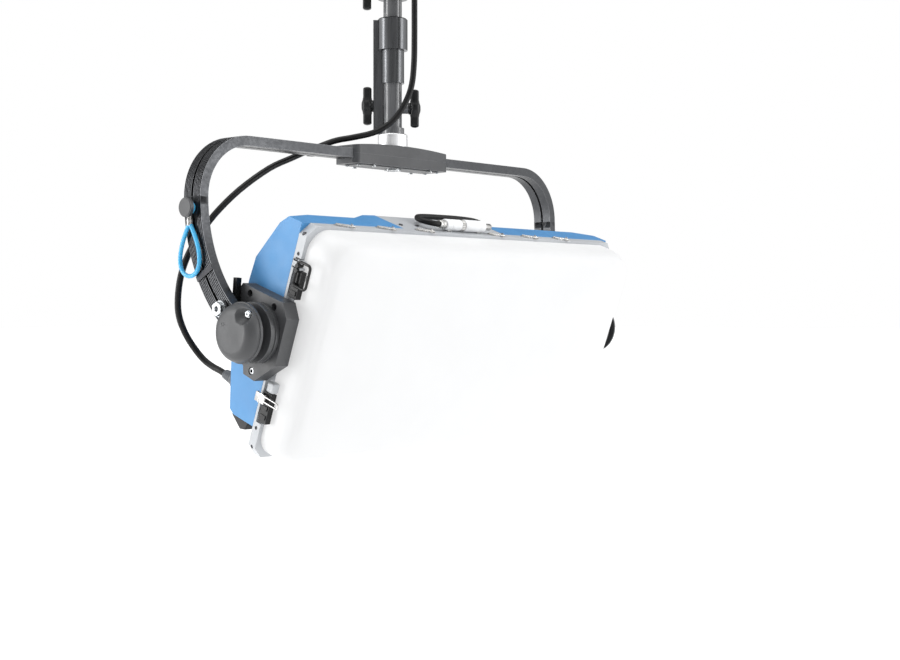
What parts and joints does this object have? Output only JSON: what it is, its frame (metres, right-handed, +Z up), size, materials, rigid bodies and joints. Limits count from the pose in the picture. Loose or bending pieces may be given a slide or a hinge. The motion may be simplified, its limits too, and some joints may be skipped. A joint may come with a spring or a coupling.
{
  "type": "led soft panel light",
  "caption": "Wide soft panel light with a domed white diffuser in a silver frame and blue housing, tilting in a curved double-rail yoke under a telescopic drop tube.",
  "frame": {"origin": "shoulder of the top stud, on the pole axis", "axes": "+Z up along the pole, +X to the light's left-hand side seen from behind, -Y forward, the way the head faces"},
  "size_m": [0.8005, 0.2951, 1.0156],
  "materials": {
    "black_tube": "semi-gloss black powder coat on tube",
    "black_collar": "satin black anodised",
    "stud_steel": "turned steel",
    "lock_plastic": "moulded glass-filled nylon",
    "lead_rubber": "satin rubber sheath",
    "tie_webbing": "hook and loop strap",
    "plug_plastic": "moulded plug",
    "spigot_alloy": "turned aluminium",
    "cast_black": "fine textured black casting",
    "rail_black": "black anodised extrusion",
    "screw_steel": "zinc plated",
    "screw_black": "black oxide",
    "loop_blue": "blue sheath",
    "frame_silver": "silver powder coat on aluminium",
    "diffuser_white": "opal acrylic",
    "chamber_white": "white reflector",
    "led_board": "white solder mask",
    "sink_alloy": "extruded",
    "housing_blue": "blue powder coat",
    "bracket_black": "textured black",
    "shaft_steel": "ground",
    "electronics": "circuit board",
    "fan_black": "moulded",
    "panel_black": "matt panel",
    "gland_grey": "moulded nylon",
    "plug_silver": "satin nickel",
    "button_grey": "silicone",
    "foot_rubber": "matt"
  },
  "bodies": {
    "hanger": {"hanger_tube": "black_tube", "hanger_stud": "stud_steel", "hanger_collar": "black_collar"},
    "hanger_lock": {"hanger_lock": "lock_plastic"},
    "drop_tube": {"drop_tube": "black_tube", "lower_sleeve": "black_collar", "upper_sleeve": "black_collar", "guide_bar": "black_collar", "stop_collar": "black_collar", "cable_cradle": "black_collar", "lead_pole": "lead_rubber", "lead_coil": "lead_rubber", "coil_tie": "tie_webbing", "lead_plug": "plug_plastic"},
    "stop_lock": {"stop_lock": "lock_plastic"},
    "pan_lock_left": {"pan_lock_left": "lock_plastic"},
    "pan_lock_right": {"pan_lock_right": "lock_plastic"},
    "yoke": {"yoke_spigot": "spigot_alloy", "clamp_upper": "cast_black", "clamp_lower": "cast_black", "clamp_screws": "screw_steel", "front_rail": "rail_black", "rear_rail": "rail_black", "hub_discs": "bracket_black", "hub_caps": "bracket_black", "arm_bolts": "screw_steel", "arm_bands": "screw_black", "loop_knob": "bracket_black", "cable_clip": "lock_plastic"},
    "safety_loop": {"safety_loop": "loop_blue"},
    "head": {"front_frame": "frame_silver", "diffuser": "diffuser_white", "light_chamber": "chamber_white", "led_board": "led_board", "heat_sink": "sink_alloy", "left_housing": "housing_blue", "right_housing": "housing_blue", "centre_housing": "frame_silver", "head_brackets": "bracket_black", "tilt_shafts": "shaft_steel", "head_screws": "screw_black", "accessory_rails": "lock_plastic", "frame_clips": "plug_silver", "power_supply": "electronics", "fan_frames": "fan_black", "control_panel": "panel_black", "cable_gland": "gland_grey", "jumper_lead": "lead_rubber", "jumper_plug": "plug_silver", "head_feet": "foot_rubber", "lead_head": "lead_rubber"},
    "fan_left": {"fan_rotor_left": "fan_black"},
    "fan_right": {"fan_rotor_right": "fan_black"},
    "latch_left": {"latch_ring_left": "lock_plastic"},
    "latch_right": {"latch_ring_right": "lock_plastic"},
    "tilt_lever": {"tilt_lock_lever": "lock_plastic"},
    "menu_button": {"menu_button": "button_grey"},
    "back_button": {"back_button": "button_grey"},
    "dimmer_knob": {"dimmer_knob": "panel_black"},
    "colour_knob": {"colour_knob": "panel_black"}
  },
  "joints": [
    {"name": "tube_slide", "type": "slide", "parent": "hanger", "child": "drop_tube", "axis": [0, 0, -1], "range_m": [0, 0.09]},
    {"name": "hanger_lock_turn", "type": "hinge", "parent": "hanger", "child": "hanger_lock", "pos_m": [0, 0, -0.155], "axis": [0.6561, -0.7547, 0], "continuous": true},
    {"name": "stop_lock_turn", "type": "hinge", "parent": "drop_tube", "child": "stop_lock", "pos_m": [0, 0, -0.245], "axis": [0.6561, -0.7547, 0], "continuous": true},
    {"name": "pan_lock_left_turn", "type": "hinge", "parent": "drop_tube", "child": "pan_lock_left", "pos_m": [0, 0, -0.42], "axis": [0.6561, -0.7547, 0], "continuous": true},
    {"name": "pan_lock_right_turn", "type": "hinge", "parent": "drop_tube", "child": "pan_lock_right", "pos_m": [0, 0, -0.424], "axis": [0.6561, -0.7547, 0], "continuous": true},
    {"name": "yoke_pan", "type": "hinge", "parent": "drop_tube", "child": "yoke", "pos_m": [0, 0, -0.46], "axis": [0, 0, 1], "range_deg": [-90, 90], "deforming": ["lead_pole"]},
    {"name": "loop_swing", "type": "hinge", "parent": "yoke", "child": "safety_loop", "pos_m": [-0.3895, -0.0005, -0.595], "axis": [1, 0, 0], "range_deg": [-35, 35]},
    {"name": "head_tilt", "type": "hinge", "parent": "yoke", "child": "head", "pos_m": [0, -0.10136, -0.76], "axis": [1, 0, 0], "range_deg": [-65, 70], "deforming": ["lead_head"]},
    {"name": "fan_left_spin", "type": "hinge", "parent": "head", "child": "fan_left", "pos_m": [-0.087, -0.06618, -0.68122], "axis": [0, 0.9397, 0.342], "continuous": true},
    {"name": "fan_right_spin", "type": "hinge", "parent": "head", "child": "fan_right", "pos_m": [0.017, -0.06618, -0.68122], "axis": [0, 0.9397, 0.342], "continuous": true},
    {"name": "latch_left_swing", "type": "hinge", "parent": "head", "child": "latch_left", "pos_m": [-0.34, -0.15858, -0.67441], "axis": [1, 0, 0], "range_deg": [-75, 20]},
    {"name": "latch_right_swing", "type": "hinge", "parent": "head", "child": "latch_right", "pos_m": [0.34, -0.15858, -0.67441], "axis": [1, 0, 0], "range_deg": [-75, 20]},
    {"name": "tilt_lever_turn", "type": "hinge", "parent": "head", "child": "tilt_lever", "pos_m": [-0.36, -0.06121, -0.7241], "axis": [1, 0, 0], "range_deg": [-30, 10]},
    {"name": "menu_button_press", "type": "slide", "parent": "head", "child": "menu_button", "axis": [0, -0.9397, -0.342], "range_m": [0, 0.002], "stiffness_N_per_m": 600},
    {"name": "back_button_press", "type": "slide", "parent": "head", "child": "back_button", "axis": [0, -0.9397, -0.342], "range_m": [0, 0.002], "stiffness_N_per_m": 600},
    {"name": "dimmer_knob_turn", "type": "hinge", "parent": "head", "child": "dimmer_knob", "pos_m": [0.021, -0.03147, -0.74733], "axis": [0, 0.9397, 0.342], "continuous": true},
    {"name": "colour_knob_turn", "type": "hinge", "parent": "head", "child": "colour_knob", "pos_m": [0.021, -0.02053, -0.77741], "axis": [0, 0.9397, 0.342], "continuous": true}
  ]
}
